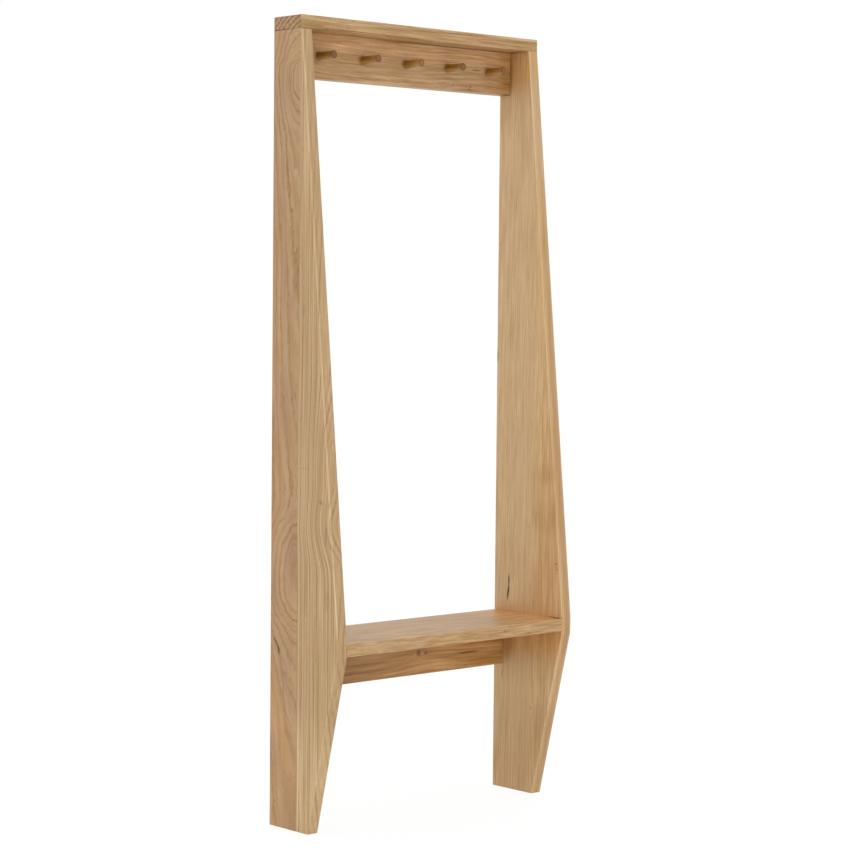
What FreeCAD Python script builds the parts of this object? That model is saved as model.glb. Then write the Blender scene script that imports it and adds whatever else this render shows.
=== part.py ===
"""Hall stand in solid wood: two shaped side panels carry a top board, a peg rail, a shelf and an apron.

The origin is on the floor at the centre of the overall box. +Z is up, -Y is the front, +X is the right.
Lengths are in millimetres.
"""

import FreeCAD, Part
import os
import re
from collections import namedtuple

import Sketcher

SIZES = {
    # Overall frame
    "overall_width": 750,        # outer face to outer face of the side panels
    "overall_height": 1870,      # floor to the upper face of the top board
    "top_depth": 100,            # panels and top board at the top, front to back
    "knee_depth": 240,           # panels and shelf at shelf level, front to back
    "foot_depth": 140,           # panels at the floor, front to back
    "shelf_height": 448,         # floor to the upper face of the shelf
    # Boards
    "panel_thickness": 30,
    "top_thickness": 30,
    "rail_thickness": 35,
    "shelf_thickness": 30,
    "apron_thickness": 30,
    "rail_height": 105,
    "apron_height": 105,
    "edge_round": 1.5,           # radius sanded on the arrises
    # Upright front edge of a panel at shelf level
    "knee_margin": 4,            # how far it runs past the shelf's two faces
    "knee_radius": 60,           # its soft corners to the slopes above and below
    # Glue lines, measured from the back edge
    "left_glue_line": 97,
    "right_glue_line": 132,
    "shelf_glue_line": 118,
    # Coat pegs
    "peg_diameter": 18,
    "peg_reach": 56,             # from the rail's face to the peg's end
    "peg_round": 1.8,
    "peg_margin": 75,            # end of the rail to the first peg's axis
    "tenon_diameter": 12,
    "tenon_length": 20,
    # Wooden dowels
    "dowel_diameter": 8,
    "dowel_length": 40,
    "dowel_chamfer": 1,
    "dowel_entry": 15,           # length that enters a face, the rest enters an end or an edge
    "rail_dowel_spread": 32,     # from the middle of the rail's end to each dowel
    "apron_dowel_spread": 32,
    "shelf_dowel_inset": 25,     # from the shelf's front and back edges
    "tie_spacing": 200,          # between the dowels along the rail's and the apron's upper edge
    # Cam bolts and cam discs
    "bolt_thread": 6,
    "bolt_thread_length": 11,
    "bolt_shank": 5,
    "bolt_head": 7.5,            # diameter of the collar and of the head
    "bolt_collar_length": 2,
    "bolt_head_length": 4,
    "cam_diameter": 15,
    "cam_lip": 5.5,              # disc beyond the bolt's axis
    "cam_setback": 34,           # end of the board to the disc's axis
    "shelf_cam_inset": 62,       # from the shelf's front and back edges
    "cross_length": 9,           # cross recess of the disc
    "cross_width": 2,
    "cross_depth": 3,
    # Screws down through the top board, with a plug over each
    "screw_head": 10.5,
    "screw_head_length": 4,
    "screw_shank": 7,
    "screw_thread": 5,
    "screw_bite": 42,            # length in the panel
    "screw_point": 4,
    "socket_width": 4,
    "socket_depth": 2.5,
    "plug_diameter": 12,
    "plug_length": 6,
    # Radial room round pegs, dowels and fasteners, and at the bottom of their holes
    "clearance": 0.1,
}

PEG_COUNT = 5
NEAR = 1e-4

# Places that follow from the sizes
BACK = "knee_depth / 2"
INNER_HALF = "(overall_width / 2 - panel_thickness)"
PANEL_TOP = "(overall_height - top_thickness)"
SHELF_UNDER = "(shelf_height - shelf_thickness)"
CAM_PLACE = f"({INNER_HALF} - cam_setback)"
PEG_SPACING = f"(2 * ({INNER_HALF} - peg_margin) / {PEG_COUNT - 1})"
PEG_PLACES = [f"{n - (PEG_COUNT - 1) / 2} * {PEG_SPACING}" for n in range(PEG_COUNT)]
TIE_PLACES = [f"{n} * tie_spacing" for n in (-1, 0, 1)]

# The panel's end ahead of the rail holds a screw in the middle and a dowel at each quarter
TOP_FREE = "(top_depth - rail_thickness)"
TOP_SCREW_BEHIND = f"(rail_thickness + {TOP_FREE} / 2)"
TOP_DOWELS_BEHIND = [f"(rail_thickness + {TOP_FREE} * {share})" for share in (0.25, 0.75)]

# Holes take their fastener's size and the clearance
DOWEL_HOLE = "dowel_diameter + 2 * clearance"
DOWEL_FACE_DEPTH = "dowel_entry + clearance"
DOWEL_END_DEPTH = "dowel_length - dowel_entry + clearance"
BOLT_BORE = "bolt_head + 2 * clearance"
BOLT_REACH = "(cam_setback + bolt_head_length / 2)"

# A board between the panels lies flat in its own frame: x along it, y across it from its free edge,
# z up from the face that the cam discs open on. An upright board is turned so that this face is its back.
CrossBoard = namedtuple("CrossBoard", "width thickness upright floor cams dowels")

RAIL = CrossBoard(
    width="rail_height",
    thickness="rail_thickness",
    upright=True,
    floor=f"({PANEL_TOP} - rail_height)",
    cams=["rail_height / 2"],
    dowels=["rail_height / 2 - rail_dowel_spread", "rail_height / 2 + rail_dowel_spread"],
)
SHELF = CrossBoard(
    width="knee_depth",
    thickness="shelf_thickness",
    upright=False,
    floor=SHELF_UNDER,
    cams=["shelf_cam_inset", "knee_depth - shelf_cam_inset"],
    dowels=["shelf_dowel_inset", "knee_depth - shelf_dowel_inset"],
)
APRON = CrossBoard(
    width="apron_height",
    thickness="apron_thickness",
    upright=True,
    floor=f"({SHELF_UNDER} - apron_height)",
    cams=["apron_height / 2"],
    dowels=["apron_height / 2 - apron_dowel_spread", "apron_height / 2 + apron_dowel_spread"],
)

# Turns of a piece that is made along its own +X
TO_RIGHT = FreeCAD.Rotation()
TO_LEFT = FreeCAD.Rotation(FreeCAD.Vector(0, 0, 1), 180)
TO_FRONT = FreeCAD.Rotation(FreeCAD.Vector(0, 0, 1), -90)
DOWNWARD = FreeCAD.Rotation(FreeCAD.Vector(0, 1, 0), 90)
UPRIGHT = FreeCAD.Rotation(FreeCAD.Vector(1, 0, 0), 90)

doc = FreeCAD.newDocument("HallStand")
sheet = doc.addObject("Spreadsheet::Sheet", "Sizes")
for row, (name, size) in enumerate(SIZES.items(), start=1):
    sheet.set(f"A{row}", name)
    sheet.set(f"B{row}", str(size))
    sheet.setAlias(f"B{row}", name)
doc.recompute()


# Expressions and placing

def formula(text):
    """Puts the sheet's name before each size in an expression."""
    return re.sub(r"[a-z_]+", lambda word: f"Sizes.{word[0]}" if word[0] in SIZES else word[0], text)


def measure(text):
    """The present value of an expression."""
    return float(sheet.evalExpression(formula(text)))


def bind(item, name, text):
    """Ties one property of an object to the sheet."""
    item.setExpression(name, formula(text))


def place(item, x="0", y="0", z="0", turn=TO_RIGHT):
    """Turns an object and ties its position to the sheet."""
    item.Placement = FreeCAD.Placement(FreeCAD.Vector(), turn)
    for axis, text in zip("xyz", (x, y, z)):
        bind(item, f"Placement.Base.{axis}", text)


def seat(item, board):
    """Places an object that is made in a cross board's own frame."""
    if board.upright:
        place(item, y=BACK, z=board.floor, turn=UPRIGHT)
    else:
        place(item, y=f"{BACK} - {board.width}", z=board.floor)


# Sketches and features

def new_body(label):
    body = doc.addObject("PartDesign::Body", label)
    body.Label = label
    return body


def sketch_on(body, role, offset="0"):
    """A sketch on one of the body's own origin planes, moved along the plane's normal."""
    plane = next(item for item in body.Origin.OriginFeatures if item.Role == role)
    sketch = body.newObject("Sketcher::SketchObject", "Sketch")
    sketch.AttachmentSupport = [(plane, "")]
    sketch.MapMode = "FlatFace"
    bind(sketch, "AttachmentOffset.Base.z", offset)
    return sketch


def fix_point(sketch, geometry, point, across, up):
    """Ties a point of a sketch to its distances from the sketch's origin."""
    for kind, text in (("DistanceX", across), ("DistanceY", up)):
        rule = Sketcher.Constraint(kind, -1, 1, geometry, point, measure(text))
        bind(sketch, f"Constraints[{sketch.addConstraint(rule)}]", text)


def outline(sketch, corners):
    """A closed outline of straight lines through corners."""
    spots = [FreeCAD.Vector(measure(across), measure(up), 0) for across, up in corners]
    for start, end in zip(spots, spots[1:] + spots[:1]):
        sketch.addGeometry(Part.LineSegment(start, end), False)
    for number, (across, up) in enumerate(corners):
        before = (number - 1) % len(corners)
        sketch.addConstraint(Sketcher.Constraint("Coincident", before, 2, number, 1))
        fix_point(sketch, number, 1, across, up)


def rectangle(sketch, low, high):
    """A rectangle between its low and high corners."""
    outline(sketch, [low, (high[0], low[1]), high, (low[0], high[1])])


def circles(sketch, centres, diameter):
    """Circles of one diameter."""
    for across, up in centres:
        centre = FreeCAD.Vector(measure(across), measure(up), 0)
        ring = Part.Circle(centre, FreeCAD.Vector(0, 0, 1), measure(diameter) / 2)
        number = sketch.addGeometry(ring, False)
        fix_point(sketch, number, 3, across, up)
        rule = sketch.addConstraint(Sketcher.Constraint("Diameter", number, measure(diameter)))
        bind(sketch, f"Constraints[{rule}]", diameter)


def pad(body, sketch, length, midplane=False):
    feature = body.newObject("PartDesign::Pad", "Pad")
    feature.Profile = sketch
    feature.Midplane = midplane
    bind(feature, "Length", length)
    doc.recompute()


def pocket(body, sketch, depth, along_normal=False):
    """Cuts a sketch into the body, against the sketch's normal or along it."""
    volume = body.Shape.Volume
    feature = body.newObject("PartDesign::Pocket", "Pocket")
    feature.Profile = sketch
    feature.Reversed = along_normal
    bind(feature, "Length", depth)
    doc.recompute()
    if body.Shape.Volume > volume - NEAR:
        raise RuntimeError(f"a pocket in {body.Label} cuts nothing")


def drill(body, role, offset, centres, diameter, depth, along_normal=False):
    """Round holes of one size from one plane."""
    sketch = sketch_on(body, role, offset)
    circles(sketch, centres, diameter)
    pocket(body, sketch, depth, along_normal)


def round_edges(body, radius, chosen):
    """Rounds the edges that the test picks."""
    base = body.Tip
    names = [f"Edge{n}" for n, edge in enumerate(base.Shape.Edges, start=1) if chosen(edge.BoundBox)]
    feature = body.newObject("PartDesign::Fillet", "Fillet")
    feature.Base = (base, names)
    bind(feature, "Radius", radius)
    doc.recompute()


def turned(label, stations):
    """A turned piece along +X: stations give its radius at distances from its start."""
    body = new_body(label)
    sketch = sketch_on(body, "XY_Plane")
    outline(sketch, [(stations[0][0], "0"), *stations, (stations[-1][0], "0")])
    feature = body.newObject("PartDesign::Revolution", "Revolution")
    feature.Profile = sketch
    feature.ReferenceAxis = (sketch, ["H_Axis"])
    doc.recompute()
    return body


def along_x(box):
    return box.YLength < NEAR and box.ZLength < NEAR


# Side panels

def panel_spots(board, places):
    """Where fasteners of a cross board meet a panel, as distances from its back and from the floor."""
    middle = f"{board.thickness} / 2"
    if board.upright:
        return [(f"-{middle}", f"{board.floor} + {place_across}") for place_across in places]
    return [(f"{place_across} - {board.width}", f"{board.floor} + {middle}") for place_across in places]


def side_stave(label, side, glue_line, front):
    """One stave of a side panel; side is -1 on the left and 1 on the right.

    The whole panel is padded, rounded and drilled, and the other stave is cut away at the glue line.
    """
    body = new_body(label)
    place(body, x=f"{side} * ({INNER_HALF} + panel_thickness / 2)", y=BACK)
    profile = sketch_on(body, "YZ_Plane")
    outline(profile, [
        ("0", "0"),
        ("-foot_depth", "0"),
        ("-knee_depth", f"{SHELF_UNDER} - knee_margin"),
        ("-knee_depth", "shelf_height + knee_margin"),
        ("-top_depth", PANEL_TOP),
        ("0", PANEL_TOP),
    ])
    pad(body, profile, "panel_thickness", midplane=True)
    knee_front = -measure("knee_depth")
    round_edges(body, "knee_radius", lambda box: along_x(box) and box.YMax < knee_front + NEAR)
    top_end = measure(PANEL_TOP)
    round_edges(body, "edge_round", lambda box: (
        box.ZMin < top_end - NEAR and (not along_x(box) or box.ZMax < NEAR)))

    inner_face = f"{-side} * panel_thickness / 2"
    boards = (RAIL, SHELF, APRON)
    bolts = [spot for board in boards for spot in panel_spots(board, board.cams)]
    dowels = [spot for board in boards for spot in panel_spots(board, board.dowels)]
    drill(body, "YZ_Plane", inner_face, bolts,
          "bolt_thread + 2 * clearance", "bolt_thread_length + clearance", side > 0)
    drill(body, "YZ_Plane", inner_face, dowels, DOWEL_HOLE, DOWEL_FACE_DEPTH, side > 0)
    drill(body, "XY_Plane", PANEL_TOP, [("0", f"-{behind}") for behind in TOP_DOWELS_BEHIND],
          DOWEL_HOLE, DOWEL_END_DEPTH)
    drill(body, "XY_Plane", PANEL_TOP, [("0", f"-{TOP_SCREW_BEHIND}")],
          "screw_thread + 2 * clearance", "screw_bite + clearance")

    other = sketch_on(body, "YZ_Plane", "-panel_thickness")
    far = "panel_thickness" if front else "-knee_depth - panel_thickness"
    near_and_far = [f"-{glue_line}", far] if front else [far, f"-{glue_line}"]
    rectangle(other, (near_and_far[0], "-panel_thickness"), (near_and_far[1], "overall_height"))
    pocket(body, other, "2 * panel_thickness", along_normal=True)
    return body


# Boards between the panels

def cross_board(label, board):
    """A board with its end bores, dowel holes and cam bores, rounded along its free edge."""
    body = new_body(label)
    seat(body, board)
    face = sketch_on(body, "XY_Plane")
    rectangle(face, (f"-{INNER_HALF}", "0"), (INNER_HALF, board.width))
    pad(body, face, board.thickness)
    round_edges(body, "edge_round", lambda box: along_x(box) and box.YMax < NEAR)
    middle = f"{board.thickness} / 2"
    for end in (-1, 1):
        end_face = f"{end} * {INNER_HALF}"
        drill(body, "YZ_Plane", end_face, [(across, middle) for across in board.cams],
              BOLT_BORE, f"{BOLT_REACH} + clearance", end < 0)
        drill(body, "YZ_Plane", end_face, [(across, middle) for across in board.dowels],
              DOWEL_HOLE, DOWEL_END_DEPTH, end < 0)
    discs = [(f"{end} * {CAM_PLACE}", across) for end in (-1, 1) for across in board.cams]
    drill(body, "XY_Plane", "0", discs,
          "cam_diameter + 2 * clearance", f"{middle} + cam_lip + clearance", along_normal=True)
    return body


def tie_holes(body, board):
    """Dowel holes down into the far edge of an upright board."""
    spots = [(along, f"{board.thickness} / 2") for along in TIE_PLACES]
    drill(body, "XZ_Plane", f"-{board.width}", spots, DOWEL_HOLE, DOWEL_END_DEPTH, along_normal=True)


def peg_rail():
    body = cross_board("peg_rail", RAIL)
    tie_holes(body, RAIL)
    drill(body, "XY_Plane", RAIL.thickness, [(along, "rail_height / 2") for along in PEG_PLACES],
          "tenon_diameter + 2 * clearance", "tenon_length + clearance")
    return body


def apron():
    body = cross_board("apron", APRON)
    tie_holes(body, APRON)
    return body


def shelf_stave(label, front):
    """One stave of the shelf: the whole shelf is drilled, and the other stave is cut away."""
    body = cross_board(label, SHELF)
    ties = [(along, "knee_depth - apron_thickness / 2") for along in TIE_PLACES]
    drill(body, "XY_Plane", "0", ties, DOWEL_HOLE, DOWEL_FACE_DEPTH, along_normal=True)
    other = sketch_on(body, "XY_Plane", "-shelf_thickness")
    glue_line = "knee_depth - shelf_glue_line"
    low, high = (glue_line, "2 * knee_depth") if front else ("-knee_depth", glue_line)
    rectangle(other, ("-overall_width", low), ("overall_width", high))
    pocket(body, other, "3 * shelf_thickness", along_normal=True)
    return body


def top_board():
    """The board that caps the panels and the rail, with plugged screw holes over the panels."""
    body = new_body("top_board")
    place(body, y=BACK, z=PANEL_TOP)
    face = sketch_on(body, "XY_Plane")
    rectangle(face, ("-overall_width / 2", "-top_depth"), ("overall_width / 2", "0"))
    pad(body, face, "top_thickness")
    round_edges(body, "edge_round", lambda box: box.ZMax > NEAR)
    panels = [f"{side} * ({INNER_HALF} + panel_thickness / 2)" for side in (-1, 1)]
    dowels = [(panel, f"-{behind}") for panel in panels for behind in TOP_DOWELS_BEHIND]
    dowels += [(along, "-rail_thickness / 2") for along in TIE_PLACES]
    drill(body, "XY_Plane", "0", dowels, DOWEL_HOLE, DOWEL_FACE_DEPTH, along_normal=True)
    screws = [(panel, f"-{TOP_SCREW_BEHIND}") for panel in panels]
    drill(body, "XY_Plane", "top_thickness", screws,
          "plug_diameter + 2 * clearance", "plug_length + screw_head_length")
    drill(body, "XY_Plane", "0", screws, "screw_shank + 2 * clearance", "top_thickness", along_normal=True)
    return body


# Pegs and fasteners

def coat_peg(number, along):
    """A round peg with a tenon that is glued into the rail."""
    end = "tenon_length + peg_reach"
    body = turned(f"coat_peg_{number}", [
        ("0", "tenon_diameter / 2"),
        ("tenon_length", "tenon_diameter / 2"),
        ("tenon_length", "peg_diameter / 2"),
        (end, "peg_diameter / 2"),
    ])
    tip = measure(end)
    round_edges(body, "peg_round", lambda box: box.XMin > tip - NEAR)
    place(body, along, f"{BACK} - rail_thickness + tenon_length", f"{RAIL.floor} + rail_height / 2", TO_FRONT)
    return body


def dowel():
    return turned("dowel", [
        ("0", "dowel_diameter / 2 - dowel_chamfer"),
        ("dowel_chamfer", "dowel_diameter / 2"),
        ("dowel_length - dowel_chamfer", "dowel_diameter / 2"),
        ("dowel_length", "dowel_diameter / 2 - dowel_chamfer"),
    ])


def cam_bolt():
    """From the thread in the panel, past the collar on the panel's face, to the head in the disc."""
    collar_end = "bolt_thread_length + bolt_collar_length"
    head_end = f"bolt_thread_length + {BOLT_REACH}"
    head_start = f"{head_end} - bolt_head_length"
    return turned("cam_bolt", [
        ("0", "bolt_thread / 2"),
        ("bolt_thread_length", "bolt_thread / 2"),
        ("bolt_thread_length", "bolt_head / 2"),
        (collar_end, "bolt_head / 2"),
        (collar_end, "bolt_shank / 2"),
        (head_start, "bolt_shank / 2"),
        (head_start, "bolt_head / 2"),
        (head_end, "bolt_head / 2"),
    ])


def cam_disc(label, board):
    """A disc with a mouth for the bolt on its left and a cross recess in its open face."""
    body = new_body(label)
    rim = sketch_on(body, "XY_Plane")
    circles(rim, [("0", "0")], "cam_diameter")
    pad(body, rim, f"{board.thickness} / 2 + cam_lip")
    half_mouth = "(bolt_head / 2 + clearance)"
    axis_height = f"{board.thickness} / 2"
    mouth = sketch_on(body, "YZ_Plane", "bolt_head_length / 2 + clearance")
    rectangle(mouth, (f"-{half_mouth}", f"{axis_height} - {half_mouth}"),
              (half_mouth, f"{axis_height} + {half_mouth}"))
    pocket(body, mouth, "cam_diameter")
    for long_side, short_side in (("cross_length", "cross_width"), ("cross_width", "cross_length")):
        slot = sketch_on(body, "XY_Plane")
        rectangle(slot, (f"-{long_side} / 2", f"-{short_side} / 2"), (f"{long_side} / 2", f"{short_side} / 2"))
        pocket(body, slot, "cross_depth", along_normal=True)
    return body


def top_screw():
    """A socket-head screw from its head, through the top board, to its point in the panel."""
    shank_end = "top_thickness - plug_length"
    point = f"{shank_end} + screw_bite"
    body = turned("top_screw", [
        ("0", "screw_head / 2"),
        ("screw_head_length", "screw_head / 2"),
        ("screw_head_length", "screw_shank / 2"),
        (shank_end, "screw_shank / 2"),
        (shank_end, "screw_thread / 2"),
        (f"{point} - screw_point", "screw_thread / 2"),
        (point, "screw_thread / 8"),
    ])
    socket = sketch_on(body, "YZ_Plane")
    corners = [(f"socket_width / sqrt(3) * cos({turn} deg)", f"socket_width / sqrt(3) * sin({turn} deg)")
               for turn in range(0, 360, 60)]
    outline(socket, corners)
    pocket(body, socket, "socket_depth", along_normal=True)
    return body


def screw_plug():
    return turned("screw_plug", [("0", "plug_diameter / 2"), ("plug_length", "plug_diameter / 2")])


def group(label, fastener, spots):
    """Copies of one fastener at their places, as one sub-part of separate solids."""
    copies = []
    for x, y, z, turn in spots:
        copy = doc.addObject("App::Link", f"{label}_copy")
        copy.LinkedObject = fastener
        place(copy, x, y, z, turn)
        copies.append(copy)
    together = doc.addObject("Part::Compound", label)
    together.Label = label
    together.Links = copies
    return together


def end_group(label, fastener, board, beyond, places, height):
    """Copies at both ends of a cross board, each starting past the board's end and pointing inwards."""
    spots = []
    for across in places:
        spots.append((f"-({INNER_HALF} + {beyond})", across, height, TO_RIGHT))
        spots.append((f"{INNER_HALF} + {beyond}", across, height, TO_LEFT))
    together = group(label, fastener, spots)
    seat(together, board)
    return together


def cross_fasteners(name, board):
    """Bolts, discs and dowels of one cross board."""
    middle = f"{board.thickness} / 2"
    disc = cam_disc(f"{name}_cam_disc", board)
    return [
        end_group(f"{name}_cam_bolts", bolt, board, "bolt_thread_length", board.cams, middle),
        end_group(f"{name}_cam_discs", disc, board, "-cam_setback", board.cams, "0"),
        end_group(f"{name}_end_dowels", wood_dowel, board, "dowel_entry", board.dowels, middle),
    ]


def tie_dowels(label, board):
    """Dowels that stand in the upper edge of an upright board."""
    height = f"{board.floor} + {board.width} + dowel_entry"
    spots = [(along, f"{BACK} - {board.thickness} / 2", height, DOWNWARD) for along in TIE_PLACES]
    return group(label, wood_dowel, spots)


def over_panels(label, fastener, places_behind, height):
    """Fasteners that point down from the top board into both panels."""
    spots = []
    for side in (-1, 1):
        for behind in places_behind:
            across = f"{side} * ({INNER_HALF} + panel_thickness / 2)"
            spots.append((across, f"{BACK} - {behind}", height, DOWNWARD))
    return group(label, fastener, spots)


wood_dowel = dowel()
bolt = cam_bolt()

sub_parts = [
    side_stave("left_rear_stave", -1, "left_glue_line", front=False),
    side_stave("left_front_stave", -1, "left_glue_line", front=True),
    side_stave("right_rear_stave", 1, "right_glue_line", front=False),
    side_stave("right_front_stave", 1, "right_glue_line", front=True),
    top_board(),
    peg_rail(),
    shelf_stave("shelf_rear_stave", front=False),
    shelf_stave("shelf_front_stave", front=True),
    apron(),
]
sub_parts += [coat_peg(number, along) for number, along in enumerate(PEG_PLACES, start=1)]
for board_name, cross in (("rail", RAIL), ("shelf", SHELF), ("apron", APRON)):
    sub_parts += cross_fasteners(board_name, cross)
sub_parts += [
    tie_dowels("rail_top_dowels", RAIL),
    tie_dowels("apron_shelf_dowels", APRON),
    over_panels("top_dowels", wood_dowel, TOP_DOWELS_BEHIND, f"{PANEL_TOP} + dowel_entry"),
    over_panels("top_screws", top_screw(), [TOP_SCREW_BEHIND], "overall_height - plug_length"),
    over_panels("screw_plugs", screw_plug(), [TOP_SCREW_BEHIND], "overall_height"),
]

doc.recompute()
for item in doc.Objects:
    if {"Invalid", "Error"} & set(item.State):
        raise RuntimeError(f"{item.Label} did not recompute: {item.State}")
for item in sub_parts:
    if item.Shape.isNull() or not item.Shape.isValid():
        raise RuntimeError(f"{item.Label} has no valid shape")

os.makedirs("parts", exist_ok=True)
for item in sub_parts:
    item.Shape.exportStep(f"parts/{item.Label}.step")
    print(item.Label, len(item.Shape.Solids), "solids", round(item.Shape.Volume / 1000, 2), "cm3")
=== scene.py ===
"""Looks of an open frame wardrobe in oiled solid oak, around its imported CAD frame.

Every board keeps its CAD shape and gets wood of its own. A board's grain is worked out in millimetres in the
board's own frame: across the grain, through the thickness and along the fibres.
"""

import math
from typing import NamedTuple

import bpy
from bpy.props import FloatProperty, FloatVectorProperty, PointerProperty
from mathutils import Matrix, Vector


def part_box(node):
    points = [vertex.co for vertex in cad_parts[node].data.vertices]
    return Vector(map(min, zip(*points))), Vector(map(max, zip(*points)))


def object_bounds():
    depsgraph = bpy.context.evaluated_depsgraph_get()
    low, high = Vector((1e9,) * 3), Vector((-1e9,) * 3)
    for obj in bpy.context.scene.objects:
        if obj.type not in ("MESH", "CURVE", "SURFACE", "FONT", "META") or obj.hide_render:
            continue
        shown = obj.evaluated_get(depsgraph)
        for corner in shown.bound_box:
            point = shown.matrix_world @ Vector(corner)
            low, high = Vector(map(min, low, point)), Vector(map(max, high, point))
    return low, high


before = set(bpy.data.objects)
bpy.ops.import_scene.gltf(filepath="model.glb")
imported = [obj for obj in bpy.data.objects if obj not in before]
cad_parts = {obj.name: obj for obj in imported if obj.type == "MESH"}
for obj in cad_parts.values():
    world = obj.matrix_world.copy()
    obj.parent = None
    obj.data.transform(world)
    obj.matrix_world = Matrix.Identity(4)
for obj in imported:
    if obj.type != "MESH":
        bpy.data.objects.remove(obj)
CAD_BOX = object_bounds()

bl_info = {
    "name": "Open frame wardrobe",
    "version": (1, 0, 0),
    "blender": (4, 5, 0),
    "location": "View3D > Sidebar > Wardrobe",
    "description": "Wood, fittings, light and camera for an open frame wardrobe",
    "category": "Object",
}

MM = 0.001
FAR = 1e6  # a reach in mm past which a pattern doesn't change
MIX_FACTOR, MIX_A, MIX_B = 0, 6, 7  # sockets of a colour Mix node, whose names repeat
COLOUR_MIX = {"data_type": "RGBA"}
COLOUR_TINT = {"data_type": "RGBA", "blend_type": "MULTIPLY"}
WHITE = (1, 1, 1, 1)
SENSOR_WIDTH = 36  # mm
PAPER_WHITE = 0.9  # share of plain white in the paper where it is seen

# Shares of a board's own colour
DEEP_TINT = (0.84, 0.77, 0.68)        # late wood and darker bands
LINE_TINT = (0.48, 0.31, 0.05)        # open-pored early wood
DARK_FIBRE_TINT = (0.70, 0.60, 0.38)
PALE_FIBRE_TINT = (1.30, 1.40, 1.62)
END_TINT = (0.89, 0.88, 1.00)         # sawn ends
TIP_GRAIN_AND_SHADE_TINT = (0.65, 0.50, 0.38)         # ends of turned pieces: end grain darkened by oil, with painted shade
ARRIS_WEAR_AND_HIGHLIGHT_TINT = (1.28, 1.30, 1.33)       # sanded arrises, paler, with a painted highlight
RIM_TINT = (0.46, 0.35, 0.18)         # rims of turned pieces
FACE_TINT = (0.84, 0.78, 0.70)        # broad faces close to an arris, where oil builds up

# Patterns of oak, in mm across and along the fibres
BAND_SIZE = (16, 420)
CLOUD_SIZE = (60, 160)
FIBRE_WIDTH = 4
PORE_SIZE = (1.3, 16)  # drawn four times as coarse as real pores of 0.3 by 4 mm, so that they show
WAVES = ((90, 380, 2.0), (22, 110, 1.0), (10, 24, 0.8))  # with how far each pushes the lines, as a share
COARSE, MEDIUM, FINE = 1.0, 2.0, 4.0  # detail of a noise
STREAK_ROUGHNESS = 0.55

# Noise values between which a pattern goes from nothing to full
TONE_LIMITS = {"From Min": 0.45, "From Max": 1.15}
FIBRE_LIMITS = {"From Min": 0.3, "From Max": 0.7}
PORE_LIMITS = {"From Min": 0.35, "From Max": 0.6}
FAINTEST_LINE = 0.15  # strength of the faintest year's line
BETWEEN_PORES = 0.35  # strength of a line between its pores

# Cosines between which a mask goes from nothing to full
END_FACING = {"From Min": 0.6, "From Max": 0.9}       # of the normal to the fibres
BROAD_FACING = {"From Min": 0.9, "From Max": 0.99}    # of the normal to the way through the board
ARRIS_FACING = {"From Min": 0.968, "From Max": 0.88}  # of the normal to the nearest of the board's axes
STRIP_FACING = {"From Min": 0.99, "From Max": 0.92}   # of the normal to the average of the normals around it

# Reach of masks
STRIP_WIDTH = 3.0  # mm of a broad face that an arris darkens
STRIP_SAMPLES = 8
GLUE_REACH = 4.0   # mm beside a glue line that no arris darkens
RIM_CORE = 0.6     # share of a turned piece's radius inside its rim
MARK_CORE = 0.3    # share of a mark that has its full strength

# Surface of oiled oak
OIL_IOR = 1.5
ROUGHNESS_SWING = 0.06
RELIEF_STRENGTH = 0.3


class Hill(NamedTuple):
    """A place where the growth lines bend aside, as round a knot, in mm."""

    across: float
    along: float
    half_width: float
    half_length: float
    rise: float  # how far the lines are pushed towards the tree's heart


class Mark(NamedTuple):
    """A spot or stripe that tints the grain, in mm: a knot, crack, fleck, joint or change of tone."""

    across: float
    along: float
    half_width: float
    half_length: float
    lean: float    # degrees
    colour: str    # what a full mark turns the board's ground colour into
    strength: float
    through: float = 0.0
    half_depth: float = FAR


class Board(NamedTuple):
    """Figure of a board or a turned piece, in mm across the grain, through it and along the fibres."""

    axes: str            # the frame's axes across, through and along the board
    signs: tuple         # 1 for an axis that is counted from its low side, -1 from its high side
    heart: float         # where the tree's heart lies across the board
    depths: list         # places along the board, with how far outside its first face the heart lies there
    ring: float          # one year's growth
    line_share: float    # share of a ring that its dark line takes
    contrast: float      # strength of the dark lines
    fibre: float         # strength of the dark and pale fibres
    wave: float          # how far the waves push the lines aside
    bands: float         # strength of the darker bands
    hills: list = ()
    marks: list = ()
    glued: float = -FAR  # where the glue line to the next stave lies across the board
    grain: float = 150   # length of a fibre
    edge: float = 1.0    # share of the fibres' strength on narrow faces
    turned: float = 0.0  # radius of a turned piece


def size_of(node):
    """Size of a CAD node in mm along x, y and z."""
    low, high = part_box(node)
    return [round((end - start) / MM, 3) for start, end in zip(low, high)]


def place_on_rail(node):
    """Place of a CAD node's middle in mm along the peg rail, from the rail's left end."""
    low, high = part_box(node)
    return round(((low[0] + high[0]) / 2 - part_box("peg_rail")[0][0]) / MM, 1)


PEG_TONES = {  # shares of the pegs' colour
    "coat_peg_1": 0.92,
    "coat_peg_2": 1.0,
    "coat_peg_3": 1.35,
    "coat_peg_4": 0.92,
    "coat_peg_5": 0.97,
}

# Sizes and places from the frame, in mm
LEFT_GLUE, PANEL_HEIGHT = size_of("left_rear_stave")[1:]
RIGHT_GLUE = size_of("right_rear_stave")[1]
TOP_LENGTH, TOP_DEPTH = size_of("top_board")[:2]
SPAN, RAIL_THICKNESS, RAIL_HEIGHT = size_of("peg_rail")  # the span is the inside width between the panels
SHELF_GLUE = size_of("shelf_rear_stave")[1]
SHELF_FRONT = size_of("shelf_front_stave")[1]
PEG_LENGTH = size_of("coat_peg_1")[1]
PEG_RADIUS = round(size_of("coat_peg_1")[2] / 2)
PEG_PLACES = [place_on_rail(peg) for peg in PEG_TONES]
PLUG_RADIUS = round(size_of("screw_plugs")[1] / 2)

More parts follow.
